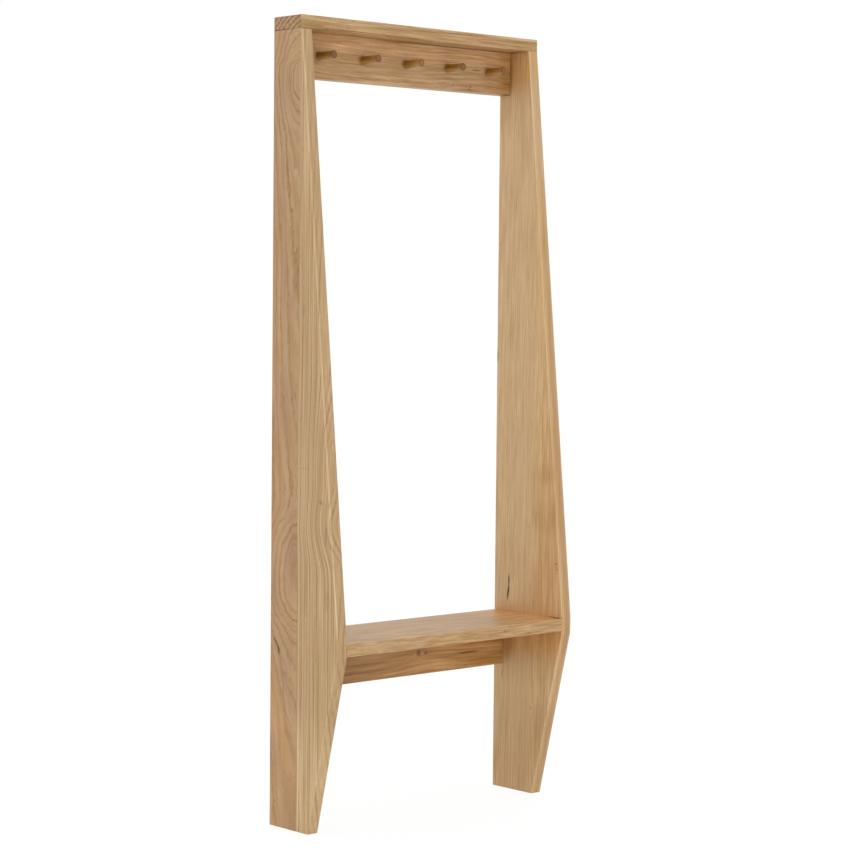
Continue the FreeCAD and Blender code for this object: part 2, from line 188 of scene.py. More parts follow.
# Where lengths are counted from: across, through and along
PANEL_AXES = {"axes": "yxz", "signs": (-1, 1, 1)}    # back or glue line, left face, floor
FLAT_AXES = {"axes": "yzx", "signs": (-1, 1, 1)}     # back or glue line, underside, left end
UPRIGHT_AXES = {"axes": "zyx", "signs": (1, -1, 1)}  # lower edge, back, left end
PEG_AXES = {"axes": "xzy", "signs": (1, 1, -1)}      # left side, underside, end of the tenon

PANEL_EDGE = 0.35  # share of the fibres' strength on the panels' narrow faces

# Depths of marks
SKIN = 5         # a mark on one face alone
THICK_SKIN = 12  # a tone that runs on over the arris
LEFT_STRIP = {"through": 3, "half_depth": 2.6}  # the strip of a narrow face beside the left face
SHELF_UPPER = {"through": 33, "half_depth": 6}  # the shelf's upper face

# Marks that boards share
TOP_JOINT = Mark(25, PANEL_HEIGHT, 90, 3, 0, "#4a2f18", 0.9)
# Painted reflections on the shelf's upper face: a pale sheen at its left and the warm reflected right panel
# at its right
SHELF_LEFT_PAINTED_SHEEN = Mark(60, 120, FAR, 420, 0, "#c4a172", 0.8, **SHELF_UPPER)
SHELF_RIGHT_PAINTED_REFLECTION = Mark(60, SPAN, FAR, 200, 0, "#e6b06e", 0.85, **SHELF_UPPER)
# Painted highlights along the arris between each panel's left face and its narrow faces
LEFT_ARRIS_HIGHLIGHT = Mark(0, 950, FAR, 850, 0, "#e6cda0", 0.55, **LEFT_STRIP)
RIGHT_ARRIS_HIGHLIGHT = Mark(0, 150, FAR, 380, 0, "#e6cda0", 0.2, **LEFT_STRIP)
UPPER_ARRIS_HIGHLIGHT = Mark(0, 1690, FAR, 300, 0, "#e6cda0", 0.6, **LEFT_STRIP)
KNEE_ARRIS_HIGHLIGHT = Mark(0, 535, FAR, 115, 0, "#f2dfb8", 0.42, **LEFT_STRIP)
LEFT_EDGE = Mark(0, 1150, FAR, 800, 0, "#cdae84", 0.3, through=21, half_depth=12)
RIGHT_EDGE = Mark(0, 750, FAR, 1150, 0, "#ad8055", 0.55, through=17, half_depth=14)
# Painted shade on the right panel's lower legs
RIGHT_FOOT_PAINTED_SHADE = Mark(60, 110, FAR, 170, 0, "#b58e60", 0.4)
UNDER_SHELF_PAINTED_SHADE = Mark(60, 405, FAR, 80, 0, "#d78d34", 0.35, half_depth=SKIN)  # painted warm shade under the shelf

RAIL_MARKS = [
    # Shade at the foot of each peg
    *(Mark(RAIL_HEIGHT / 2, place - 2, 17, 18, 0, "#6b4018", 0.55) for place in PEG_PLACES),
    # Paler above, with shade along the top and at the ends
    Mark(88, SPAN / 2, 36, FAR, 0, "#d8ac78", 0.75),
    Mark(RAIL_HEIGHT, 500, 3.5, 330, 0, "#4f3016", 0.6),
    Mark(52, SPAN, FAR, 60, 0, "#b98440", 0.4),
    Mark(52, 60, FAR, 80, 0, "#c08a48", 0.15),
    Mark(0, SPAN, 4, 45, 0, "#4a2c10", 0.6),
    # Dark streaks and a pinkish patch
    Mark(71, 165, 2.5, 175, 0, "#8d653a", 0.5),
    Mark(54, 575, 2.6, 24, 0, "#6b4420", 0.85),
    Mark(15, 520, 16, 120, 0, "#b98a68", 0.45),
    # Flecks
    Mark(13, 496, 9.5, 2.2, -48, "#8a6034", 0.6),
    Mark(12, 555, 9, 2.2, -41, "#6b4420", 0.8),
    Mark(6, 551, 2, 8, 0, "#7b5226", 0.6),
    # Short streaks at the right end
    Mark(40, 672, 2.2, 26, 0, "#7c5328", 0.55),
    Mark(27, 676, 2.2, 24, 0, "#7c5328", 0.5),
]

BOARDS = {
    # Plain sawn, with the heart near the glue line, so that the lines close into an eye and a long lens
    "left_rear_stave": Board(
        **PANEL_AXES, heart=105,
        depths=[
            (0, 165), (243, 148), (372, 128), (457, 102), (520, 64), (575, 45), (630, 52), (700, 80),
            (771, 106), (860, 102), (1000, 92), (1350, 82), (1588, 62), (1640, 46), (1691, 21), (1727, 0),
            (1768, 45), (PANEL_HEIGHT, 80),
        ],
        ring=14, line_share=0.45, contrast=0.95, fibre=0.45, wave=9, bands=0.5, glued=LEFT_GLUE,
        edge=PANEL_EDGE,
        marks=[
            TOP_JOINT,
            # Warmer towards the back and the foot
            Mark(8, 920, 24, 900, 0, "#b8894f", 0.35),
            Mark(20, 880, 15, 80, 0, "#b5764a", 0.3),
            Mark(45, 215, 46, 290, -18, "#c39353", 0.45),
            Mark(15, 50, 60, 130, 0, "#c8a066", 0.4),
            # Thin dark lines
            Mark(48, 338, 2.6, 66, -4, "#85572f", 0.4),
            Mark(69, 256, 2.4, 36, -35, "#85572f", 0.4),
            # Inside of the eye
            Mark(92, 640, 46, 125, 0, "#a8815f", 0.75),
            # Small crack and its stain
            Mark(24, 428, 4, 30, -40, "#7a4f2a", 0.75),
            Mark(31, 414, 4, 14, -12, "#4f3016", 0.9),
            # Dull patch
            Mark(70, 1225, 16, 45, 0, "#a87f5c", 0.4),
        ],
    ),
    # Straight lines that swing round a knot at the front
    "left_front_stave": Board(
        **PANEL_AXES, heart=-300, depths=[(0, 260), (PANEL_HEIGHT, 260)],
        ring=9, line_share=0.5, contrast=1.0, fibre=1.15, wave=2.2, bands=0.4, glued=0, grain=450,
        edge=PANEL_EDGE,
        hills=[Hill(98, 705, 115, 105, 20), Hill(105, 830, 110, 260, 22)],
        marks=[
            TOP_JOINT, LEFT_ARRIS_HIGHLIGHT, UPPER_ARRIS_HIGHLIGHT, KNEE_ARRIS_HIGHLIGHT, LEFT_EDGE,
            # Tones below and above the knee, and painted light at the foot
            Mark(75, 340, 45, 130, 0, "#c0a468", 0.4),
            Mark(70, 690, 40, 150, 0, "#b29566", 0.35),
            Mark(50, 110, FAR, 190, 0, "#d9bc8f", 0.5),
            # Knot and darker patches
            Mark(84, 766, 12, 8, 30, "#8f6438", 0.5),
            Mark(102, 692, 4, 38, 0, "#8a6438", 0.6),
            Mark(108, 543, 18, 34, 0, "#a58a50", 0.5),
            Mark(17, 1200, 8, 22, 0, "#9c7d50", 0.4),
            # Pale fleck, and a thin line across the grain
            Mark(32, 495, 1.5, 3, 0, "#ead8bf", 0.9, half_depth=SKIN),
            Mark(22, 840, 26, 1.4, 0, "#8f7350", 0.5, half_depth=SKIN),
        ],
    ),
    # Rift sawn: fine, straight and even
    "right_rear_stave": Board(
        **PANEL_AXES, heart=-200, depths=[(0, 300), (PANEL_HEIGHT, 260)],
        ring=5, line_share=0.5, contrast=0.6, fibre=0.45, wave=1, bands=0.35, glued=RIGHT_GLUE, grain=110,
        edge=PANEL_EDGE,
        marks=[
            TOP_JOINT, RIGHT_ARRIS_HIGHLIGHT, UPPER_ARRIS_HIGHLIGHT, RIGHT_EDGE,
            # Shade at the rail, and light and shade at the shelf
            Mark(60, 1810, 100, 90, 0, "#ca9040", 0.35),
            Mark(36, 1790, 13, 75, 0, "#80500f", 0.6, half_depth=SKIN),
            Mark(10, 1700, 34, 75, 0, "#b5803c", 0.35, half_depth=SKIN),
            Mark(75, 500, 40, 50, 0, "#e2c08c", 0.3, half_depth=8),
            Mark(45, 375, 40, 60, 0, "#a8742f", 0.45, half_depth=SKIN),
            RIGHT_FOOT_PAINTED_SHADE, UNDER_SHELF_PAINTED_SHADE,
            # Short dark streaks
            Mark(1.5, 1087, 4, 26, 0, "#3a2412", 0.9, half_depth=SKIN),
            Mark(30, 288, 2, 18, 0, "#7a5430", 0.6, half_depth=SKIN),
            # Split above the shelf
            Mark(51.5, 527, 3.4, 21, 0, "#33200f", 1.0, half_depth=6),
            Mark(49.2, 496, 4.6, 29, 7.5, "#33200f", 1.0, half_depth=6),
        ],
    ),
    # The same with brown clouds and a small crack
    "right_front_stave": Board(
        **PANEL_AXES, heart=-150, depths=[(0, 250), (PANEL_HEIGHT, 250)],
        ring=5, line_share=0.5, contrast=0.7, fibre=0.58, wave=1.2, bands=0.5, glued=0, grain=110,
        edge=PANEL_EDGE,
        marks=[
            TOP_JOINT, RIGHT_ARRIS_HIGHLIGHT, RIGHT_EDGE,
            # Dark joint line with painted shadow along the shelf's end
            Mark(86, 449, 34, 1.8, 0, "#3a2412", 0.85, half_depth=4),
            UNDER_SHELF_PAINTED_SHADE, RIGHT_FOOT_PAINTED_SHADE,
            # Brown clouds
            Mark(50, 690, 70, 330, 0, "#c4935a", 0.4, half_depth=THICK_SKIN),
            Mark(44, 800, 50, 36, 0, "#b5854f", 0.3, half_depth=THICK_SKIN),
            Mark(44, 690, 60, 60, 0, "#b5854f", 0.3, half_depth=THICK_SKIN),
            Mark(45, 545, 70, 75, 0, "#cb9d5c", 0.2, half_depth=THICK_SKIN),
            # Crack and three specks
            Mark(97, 652, 10, 1.5, 38, "#5b3a1e", 0.8, half_depth=SKIN),
            Mark(85, 581, 3.5, 2.5, 20, "#4a2c14", 0.9, half_depth=SKIN),
            Mark(90, 567, 3, 2.2, 0, "#5b3a1e", 0.8, half_depth=SKIN),
            Mark(1, 214, 4, 5, 0, "#6b4526", 0.6, half_depth=SKIN),
        ],
    ),
    # Slanting rings on the sawn ends and straight lines on the front
    "top_board": Board(
        **FLAT_AXES, heart=168, depths=[(0, 147), (TOP_LENGTH, 156)],
        ring=11, line_share=0.6, contrast=1.0, fibre=1.15, wave=3.5, bands=0.5,
        marks=[
            # Paler along the front's upper arris and at its left
            Mark(TOP_DEPTH, TOP_LENGTH / 2, 10, FAR, 0, "#d8b88c", 0.5, through=29, half_depth=8),
            Mark(TOP_DEPTH, 140, 10, 200, 0, "#d6ba90", 0.4, through=20, half_depth=14),
            # Underside: painted shade along the rail and painted light in front of it
            Mark(38, TOP_LENGTH / 2, 6, FAR, 0, "#8a5a28", 0.5, half_depth=4),
            Mark(70, TOP_LENGTH / 2, 45, FAR, 0, "#cca776", 0.7, half_depth=4),
            # Dark streaks on the front
            Mark(TOP_DEPTH, 122, 5, 26, 0, "#8d6a3c", 0.55, through=19, half_depth=2.5),
            Mark(TOP_DEPTH, 242, 5, 46, 0, "#9a7443", 0.45, through=17, half_depth=2.5),
            Mark(TOP_DEPTH, 582, 6, 40, 0, "#b07a4c", 0.45, through=9, half_depth=5),
        ],
    ),
    # Nearly straight lines with a long dark streak and a few flecks, all on the front
    "peg_rail": Board(
        **UPRIGHT_AXES, heart=-120, depths=[(0, 112), (350, 118), (520, 110), (SPAN, 116)],
        ring=8, line_share=0.45, contrast=0.85, fibre=0.85, wave=1.7, bands=0.8, grain=90,
        marks=[mark._replace(through=RAIL_THICKNESS, half_depth=THICK_SKIN) for mark in RAIL_MARKS],
    ),
    "shelf_rear_stave": Board(
        **FLAT_AXES, heart=200, depths=[(0, 120), (SPAN, 130)],
        ring=5, line_share=0.5, contrast=0.8, fibre=0.6, wave=3, bands=0.5, glued=SHELF_GLUE,
        marks=[SHELF_LEFT_PAINTED_SHEEN, SHELF_RIGHT_PAINTED_REFLECTION],
    ),
    "shelf_front_stave": Board(
        **FLAT_AXES, heart=230, depths=[(0, 100), (SPAN, 112)],
        ring=6, line_share=0.5, contrast=0.8, fibre=0.9, wave=3, bands=0.5, glued=0, grain=60,
        marks=[
            SHELF_LEFT_PAINTED_SHEEN, SHELF_RIGHT_PAINTED_REFLECTION,
            # Paler front at the left, and three specks
            Mark(SHELF_FRONT, 110, 10, 160, 0, "#d2b48c", 0.4, through=15, half_depth=22),
            Mark(SHELF_FRONT, 512, 3, 7, 0, "#7d5a35", 0.6, through=28, half_depth=2),
            Mark(SHELF_FRONT, 496, 3, 6, 0, "#7d5a35", 0.6, through=17, half_depth=2),
            Mark(SHELF_FRONT, 577, 3, 6, 0, "#7d5a35", 0.6, through=5, half_depth=2),
        ],
    ),
    # Two knots under the shelf, and a dark streak to their right
    "apron": Board(
        **UPRIGHT_AXES, heart=-90, depths=[(0, 118), (330, 114), (430, 109), (560, 113), (SPAN, 116)],
        ring=6, line_share=0.5, contrast=0.7, fibre=1.1, wave=1.4, bands=0.6,
        hills=[Hill(50, 415, 26, 34, -5)],
        marks=[
            # Darker at the left and paler at the right
            Mark(52, 110, FAR, 170, 0, "#a87c48", 0.65),
            Mark(52, 560, FAR, 200, 0, "#cb9c60", 0.95),
            # Knots and streak
            Mark(53, 407, 11, 10, 0, "#6b3f1c", 0.75),
            Mark(51, 430, 5, 7, 0, "#6b3f1c", 0.75),
            Mark(40, 572, 3.4, 54, 0, "#5f3a1a", 0.8),
        ],
    ),
}

TURNED = {"ring": 3.2, "line_share": 0.5, "contrast": 0.7, "fibre": 0.5, "wave": 0.8, "bands": 0.5}
PEG = Board(
    **PEG_AXES, **TURNED, heart=-14, depths=[(0, 16), (PEG_LENGTH, 16)], turned=PEG_RADIUS,
    marks=[
        # Painted shade towards the rail, and painted light along the underside
        Mark(PEG_RADIUS, 16, FAR, 62, 0, "#8a5a08", 0.85),
        Mark(PEG_RADIUS, 30, FAR, 62, 0, "#d6b288", 0.9, half_depth=PEG_RADIUS),
    ],
)
PLUG = Board(**FLAT_AXES, **TURNED, heart=30, depths=[(0, 20), (2 * PLUG_RADIUS, 20)], turned=PLUG_RADIUS)


def linear(colour):
    """Turn an sRGB hex colour such as #c09f78 into linear red, green and blue."""
    shares = [int(colour[i:i + 2], 16) / 255 for i in (1, 3, 5)]
    return tuple(s / 12.92 if s <= 0.04045 else ((s + 0.055) / 1.055) ** 2.4 for s in shares)


def opaque(colour, tint=(1, 1, 1)):
    """Linear red, green, blue and full alpha of a property's colour, times a tint."""
    return (*(c * t for c, t in zip(colour, tint)), 1.0)


def colour_property(name, default, description):
    """A colour that a user may change, with its default given as sRGB hex."""
    return FloatVectorProperty(
        name=name, description=description, subtype="COLOR", size=3, min=0, max=1, default=linear(default))


class WARDROBE_PG_wood(bpy.types.PropertyGroup):
    """Colours of the boards and pegs, and their oiled surface."""

    left_rear_stave: colour_property("Left rear stave", "#b8946c", "Ground colour of this rear stave")
    left_front_stave: colour_property("Left front stave", "#be9e73", "Ground colour of this front stave")
    right_rear_stave: colour_property("Right rear stave", "#cead80", "Ground colour of this rear stave")
    right_front_stave: colour_property("Right front stave", "#d2af7d", "Ground colour of this front stave")
    top_board: colour_property("Top board", "#bb9666", "Ground colour of the top board")
    peg_rail: colour_property("Peg rail", "#bd986a", "Ground colour of the peg rail")
    shelf: colour_property("Shelf", "#be9868", "Ground colour of the shelf's two staves")
    apron: colour_property("Apron", "#b88c54", "Ground colour of the apron")
    pegs: colour_property("Pegs", "#a87c41", "Ground colour of the coat pegs")
    plugs: colour_property("Plugs", "#b58e62", "Ground colour of the plugs over the screws")
    roughness: FloatProperty(
        name="Roughness", description="How matt the oil dries", default=0.45, min=0.1, max=1,
        subtype="FACTOR")
    pore_depth: FloatProperty(
        name="Pore depth", description="Depth of the open pores", default=0.06 * MM, min=0, unit="LENGTH")


class WARDROBE_PG_fittings(bpy.types.PropertyGroup):
    """Colours of the dowels and the metal fittings."""

    dowels: colour_property("Dowels", "#cdac86", "Colour of the beech dowels")
    steel: colour_property("Bolts and screws", "#c9cdd0", "Colour of the zinc plated steel")
    discs: colour_property("Cam discs", "#a9adb0", "Colour of the die cast zinc")


class WARDROBE_PG_stage(bpy.types.PropertyGroup):
    """Floor, light and camera."""

    floor_half: FloatProperty(
        name="Floor", description="From the middle of the floor to its edge", default=30, min=2,
        unit="LENGTH")
    floor_colour: colour_property("Paper", "#fcfcfc", "Colour of the paper sweep")
    paper_glow: FloatProperty(
        name="Paper glow", description="Light that brings the paper to plain white where it is seen",
        default=1.025, min=0)
    surroundings: FloatProperty(
        name="Surroundings", description="Strength of the even white light all round", default=0.93, min=0)
    key_power: FloatProperty(
        name="Key power", description="Power of the soft key light", default=20, min=0, unit="POWER")
    key_size: FloatProperty(
        name="Key size", description="Diameter of the key light", default=2.5, min=0.1, unit="LENGTH")
    key_place: FloatVectorProperty(
        name="Key place", description="Where the key light stands", default=(-2.95, -3.26, 1.3),
        subtype="TRANSLATION")
    camera_place: FloatVectorProperty(
        name="Camera place", description="Where the camera stands", default=(-3.8200, -4.2210, 1.2325),
        subtype="TRANSLATION")
    camera_turn: FloatProperty(
        name="Camera turn", description="Turn of the camera to the right of the back wall's normal",
        default=math.radians(42.08), subtype="ANGLE")
    camera_tilt: FloatProperty(
        name="Camera tilt", description="Downward tilt of the camera", default=math.radians(3.031),
        subtype="ANGLE")
    camera_roll: FloatProperty(
        name="Camera roll", description="Roll of the camera", default=math.radians(0.539), subtype="ANGLE")
    camera_lens: FloatProperty(
        name="Lens", description="Focal length on a 36 mm wide sensor", default=101.64, min=1,
        subtype="DISTANCE_CAMERA")


def add(tree, kind, inputs=None, **settings):
    """Add a node with these settings, and link its inputs to nodes and outputs or set them to values."""
    node = tree.nodes.new(kind)
    for name, value in settings.items():
        setattr(node, name, value)
    for name, value in (inputs or {}).items():
        if isinstance(value, bpy.types.Node):
            value = next(o for o in value.outputs if o.enabled)
        if isinstance(value, bpy.types.NodeSocket):
            tree.links.new(value, node.inputs[name])
        else:
            node.inputs[name].default_value = value
    return node


def new_material(name):
    """A material with an empty node tree."""
    material = bpy.data.materials.new(name)
    material.use_nodes = True
    material.node_tree.nodes.clear()
    return material, material.node_tree


def dress(node, material):
    """Give a CAD node that material alone."""
    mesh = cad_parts[node].data
    mesh.materials.clear()
    mesh.materials.append(material)


def board_place(tree, board, node):
    """Place in mm across, through and along the board, from its own edge, face and end."""
    low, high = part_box(node)
    spots = ["xyz".index(axis) for axis in board.axes]
    zero = [low[i] if sign > 0 else high[i] for i, sign in zip(spots, board.signs)]
    seen = add(tree, "ShaderNodeTexCoord").outputs["Object"]
    split = add(tree, "ShaderNodeSeparateXYZ", {0: seen})
    ordered = add(tree, "ShaderNodeCombineXYZ", {n: split.outputs[i] for n, i in enumerate(spots)})
    return add(tree, "ShaderNodeMapping", {
        "Vector": ordered,
        "Location": [-sign * place / MM for sign, place in zip(board.signs, zero)],
        "Scale": [sign / MM for sign in board.signs],
    })


def streaks(tree, place, size, detail=MEDIUM):
    """Noise drawn out along the fibres, with spots of this size in mm across and along."""
    across, along = size
    drawn = add(tree, "ShaderNodeMapping", {
        "Vector": place, "Scale": (across, across, along)}, vector_type="TEXTURE")
    return add(tree, "ShaderNodeTexNoise", {
        "Vector": drawn, "Scale": 1.0, "Detail": detail, "Roughness": STREAK_ROUGHNESS})


def spot(tree, place, centre, reach, lean=0.0, core=0.0):
    """A mask that is 1 in a core and falls to 0 at an ellipse, in mm across, through and along the board."""
    near = add(tree, "ShaderNodeMapping", {
        "Vector": place, "Location": centre, "Rotation": (0, math.radians(lean), 0), "Scale": reach,
    }, vector_type="TEXTURE")
    far = add(tree, "ShaderNodeVectorMath", {0: near}, operation="LENGTH")
    return add(tree, "ShaderNodeMapRange", {
        "Value": far, "From Min": core, "From Max": 1, "To Min": 1, "To Max": 0,
    }, interpolation_type="SMOOTHSTEP")


def heart_distance(tree, board, through, along):
    """Distance in mm from a point to the tree's heart, through the board, which changes along it."""
    length = board.depths[-1][0]
    deepest = max(depth for _, depth in board.depths)
    share = add(tree, "ShaderNodeMath", {0: along, 1: length}, operation="DIVIDE")
    course = add(tree, "ShaderNodeFloatCurve", {"Value": share})
    curve = course.mapping.curves[0]
    curve.points[0].location = (0, board.depths[0][1] / deepest)
    curve.points[1].location = (1, board.depths[-1][1] / deepest)
    for place, depth in board.depths[1:-1]:
        curve.points.new(place / length, depth / deepest)
    course.mapping.update()
    return add(tree, "ShaderNodeMath", {0: course, 1: deepest, 2: through}, operation="MULTIPLY_ADD")


def growth(tree, place, board):
    """Distance from the tree's heart in mm, which the growth lines follow.

    The heart lies at one place across the board, and at a distance from its first face that changes along
    it, so that the lines close into arcs where it comes near. Waves and hills push the lines aside.
    """
    split = add(tree, "ShaderNodeSeparateXYZ", {0: place})
    behind = heart_distance(tree, board, split.outputs["Y"], split.outputs["Z"])
    aside = add(tree, "ShaderNodeMath", {0: split.outputs["X"], 1: board.heart}, operation="SUBTRACT")
    radial = add(tree, "ShaderNodeCombineXYZ", {0: aside, 1: behind})
    radius = add(tree, "ShaderNodeVectorMath", {0: radial}, operation="LENGTH")
    for across, along, reach in WAVES:
        wave = streaks(tree, place, (across, along), COARSE)
        centred = add(tree, "ShaderNodeMath", {0: wave, 1: 0.5}, operation="SUBTRACT")
        radius = add(tree, "ShaderNodeMath", {
            0: centred, 1: reach * board.wave, 2: radius}, operation="MULTIPLY_ADD")
    for hill in board.hills:
        bulge = spot(tree, place, (hill.across, 0, hill.along), (hill.half_width, FAR, hill.half_length))
        radius = add(tree, "ShaderNodeMath", {0: bulge, 1: hill.rise, 2: radius}, operation="MULTIPLY_ADD")
    return radius


def ring_lines(tree, place, board, radius, ends):
    """How far each ring is in its year, and its dark line: dotted along the grain and whole on the ends."""
    turns = add(tree, "ShaderNodeMath", {0: radius, 1: board.ring}, operation="DIVIDE")
    phase = add(tree, "ShaderNodeMath", {0: turns}, operation="FRACT")
    year = add(tree, "ShaderNodeMath", {0: turns}, operation="FLOOR")
    luck = add(tree, "ShaderNodeTexWhiteNoise", {"W": year}, noise_dimensions="1D")
    strength = add(tree, "ShaderNodeMapRange", {"Value": luck.outputs["Value"], "To Min": FAINTEST_LINE})
    line = add(tree, "ShaderNodeMapRange", {
        "Value": phase, "From Min": 0, "From Max": board.line_share, "To Min": 1, "To Max": 0,
    }, interpolation_type="SMOOTHSTEP")
    pores = streaks(tree, place, PORE_SIZE)
    dotted = add(tree, "ShaderNodeMapRange", {"Value": pores, **PORE_LIMITS, "To Min": BETWEEN_PORES})
    whole = add(tree, "ShaderNodeMath", {0: dotted, 1: ends}, operation="MAXIMUM")
    broken = add(tree, "ShaderNodeMath", {0: line, 1: whole}, operation="MULTIPLY")
    firm = add(tree, "ShaderNodeMath", {0: strength, 1: ends}, operation="MAXIMUM")
    uneven = add(tree, "ShaderNodeMath", {0: broken, 1: firm}, operation="MULTIPLY")
    return phase, uneven


def facing_masks(tree, board):
    """Masks of ends, arrises and broad faces, by where the normal points.

    An end's normal lies along the fibres, a broad face's lies through the board and an arris's lies aslant.
    """
    normal = add(tree, "ShaderNodeNewGeometry").outputs["Normal"]
    facing = add(tree, "ShaderNodeVectorMath", {0: normal}, operation="ABSOLUTE")
    split = add(tree, "ShaderNodeSeparateXYZ", {0: facing})
    across, through, along = (split.outputs["xyz".index(axis)] for axis in board.axes)
    if board.turned:
        flank = add(tree, "ShaderNodeCombineXYZ", {0: across, 1: through})
        side = add(tree, "ShaderNodeVectorMath", {0: flank}, operation="LENGTH")
    else:
        side = add(tree, "ShaderNodeMath", {0: across, 1: through}, operation="MAXIMUM")
    greatest = add(tree, "ShaderNodeMath", {0: side, 1: along}, operation="MAXIMUM")
    ends = add(tree, "ShaderNodeMapRange", {"Value": along, **END_FACING})
    arrises = add(tree, "ShaderNodeMapRange", {"Value": greatest, **ARRIS_FACING})
    broad = add(tree, "ShaderNodeMapRange", {"Value": through, **BROAD_FACING})
    return ends, arrises, broad


def rim_mask(tree, place, board, ends):
    """Mask of the outer ring of a turned piece's ends."""
    axis = board.turned
    middle = spot(tree, place, (axis, axis, 0), (axis, axis, FAR), core=RIM_CORE)
    return add(tree, "ShaderNodeMath", {0: ends, 1: middle}, operation="SUBTRACT", use_clamp=True)


def strip_mask(tree, place, board, broad):
    """Mask of the strip of a broad face beside an arris, away from a glue line and a turned piece's axis.

    Beside an arris a normal that is averaged over a small reach leans away from the face's own.
    """
    normal = add(tree, "ShaderNodeNewGeometry").outputs["Normal"]
    averaged = add(tree, "ShaderNodeBevel", {"Radius": STRIP_WIDTH * MM}, samples=STRIP_SAMPLES)
    agreed = add(tree, "ShaderNodeVectorMath", {0: normal, 1: averaged}, operation="DOT_PRODUCT")
    beside = add(tree, "ShaderNodeMapRange", {"Value": agreed, **STRIP_FACING})
    split = add(tree, "ShaderNodeSeparateXYZ", {0: place})
    kept_off = add(tree, "ShaderNodeMath", {
        0: split.outputs["X"], 1: board.turned or board.glued, 2: GLUE_REACH}, operation="COMPARE")
    free = add(tree, "ShaderNodeMath", {0: broad, 1: kept_off}, operation="SUBTRACT", use_clamp=True)
    return add(tree, "ShaderNodeMath", {0: beside, 1: free}, operation="MULTIPLY")


def fibres(tree, place, board, radius):
    """Noise of long thin fibres, which follow the growth lines."""
    split = add(tree, "ShaderNodeSeparateXYZ", {0: place})
    flow = add(tree, "ShaderNodeCombineXYZ", {0: radius, 1: split.outputs["Y"], 2: split.outputs["Z"]})
    return streaks(tree, flow, (FIBRE_WIDTH, board.grain), FINE)


def ground_colour(tree, place, board, wood, phase):
    """The wood's own colour, which bands, clouds and the end of each year make deeper."""
    band = streaks(tree, place, BAND_SIZE)
    cloud = streaks(tree, place, CLOUD_SIZE)
    mixed = add(tree, "ShaderNodeMath", {0: band, 1: phase, 2: cloud}, operation="MULTIPLY_ADD")
    tone = add(tree, "ShaderNodeMapRange", {"Value": mixed, **TONE_LIMITS, "To Max": board.bands * 2})
    return add(tree, "ShaderNodeMix", {
        MIX_FACTOR: tone, MIX_A: opaque(wood), MIX_B: opaque(wood, DEEP_TINT)}, **COLOUR_MIX)


def fibre_tint(tree, board, fibre, broad):
    """Tint of the dark and pale fibres, weaker on narrow faces where the board says so."""
    pale = add(tree, "ShaderNodeMapRange", {
        "Value": fibre, **FIBRE_LIMITS, "To Min": -board.fibre / 2, "To Max": board.fibre / 2})
    shown = add(tree, "ShaderNodeMapRange", {"Value": broad, "To Min": board.edge})
    swing = add(tree, "ShaderNodeMath", {0: pale, 1: shown, 2: 0.5}, operation="MULTIPLY_ADD")
    return add(tree, "ShaderNodeMix", {
        MIX_FACTOR: swing, MIX_A: opaque(DARK_FIBRE_TINT), MIX_B: opaque(PALE_FIBRE_TINT)}, **COLOUR_MIX)


def marked(tree, place, board, wood, colour):
    """Tint the grain with the board's marks."""
    for mark in board.marks:
        centre = (mark.across, mark.through, mark.along)
        reach = (mark.half_width, mark.half_depth, mark.half_length)
        shape = spot(tree, place, centre, reach, mark.lean, MARK_CORE)
        share = add(tree, "ShaderNodeMath", {0: shape, 1: mark.strength}, operation="MULTIPLY")
        stain = [aim / ground for aim, ground in zip(linear(mark.colour), wood)]
        colour = add(tree, "ShaderNodeMix", {
            MIX_FACTOR: share, MIX_A: colour, MIX_B: opaque(stain)}, **COLOUR_TINT)
    return colour


def oiled_oak(name, node, board, wood, look):
    """Oak that was planed, sanded and oiled: warm and matt, with open-pored lines.

    The ends, the arrises and the strips beside the arrises have tones of their own.
    """
    material, tree = new_material(name)
    place = board_place(tree, board, node)
    ends, arrises, broad = facing_masks(tree, board)
    strips = strip_mask(tree, place, board, broad)
    radius = growth(tree, place, board)
    phase, lines = ring_lines(tree, place, board, radius, ends)
    fibre = fibres(tree, place, board, radius)

    ground = ground_colour(tree, place, board, wood, phase)
    dark = add(tree, "ShaderNodeMath", {0: lines, 1: board.contrast}, operation="MULTIPLY")
    lined = add(tree, "ShaderNodeMix", {
        MIX_FACTOR: dark, MIX_A: ground, MIX_B: opaque(wood, LINE_TINT)}, **COLOUR_MIX)
    thread = fibre_tint(tree, board, fibre, broad)
    grain = add(tree, "ShaderNodeMix", {MIX_FACTOR: 1.0, MIX_A: lined, MIX_B: thread}, **COLOUR_TINT)
    colour = marked(tree, place, board, wood, grain)
    # Painted highlight: the arris tint pales the sanded arrises as if they caught the light
    end_tint, arris_tint = END_TINT, ARRIS_WEAR_AND_HIGHLIGHT_TINT
    if board.turned:
        # Painted shade: a turned piece's ends get a darker end grain tint
        end_tint, arris_tint = TIP_GRAIN_AND_SHADE_TINT, RIM_TINT
        rims = rim_mask(tree, place, board, ends)
        arrises = add(tree, "ShaderNodeMath", {0: arrises, 1: rims}, operation="MAXIMUM")
    for mask, tint in ((ends, end_tint), (strips, FACE_TINT), (arrises, arris_tint)):
        colour = add(tree, "ShaderNodeMix", {
            MIX_FACTOR: mask, MIX_A: colour, MIX_B: opaque(tint)}, **COLOUR_TINT)

    rough = add(tree, "ShaderNodeMapRange", {
        "Value": fibre,
        "To Min": look.roughness - ROUGHNESS_SWING,
        "To Max": look.roughness + ROUGHNESS_SWING,
    })
    relief = add(tree, "ShaderNodeBump", {
        "Strength": RELIEF_STRENGTH, "Distance": look.pore_depth, "Height": lines}, invert=True)
    surface = add(tree, "ShaderNodeBsdfPrincipled", {
        "Base Color": colour, "Roughness": rough, "IOR": OIL_IOR, "Normal": relief})
    add(tree, "ShaderNodeOutputMaterial", {"Surface": surface})
    return material


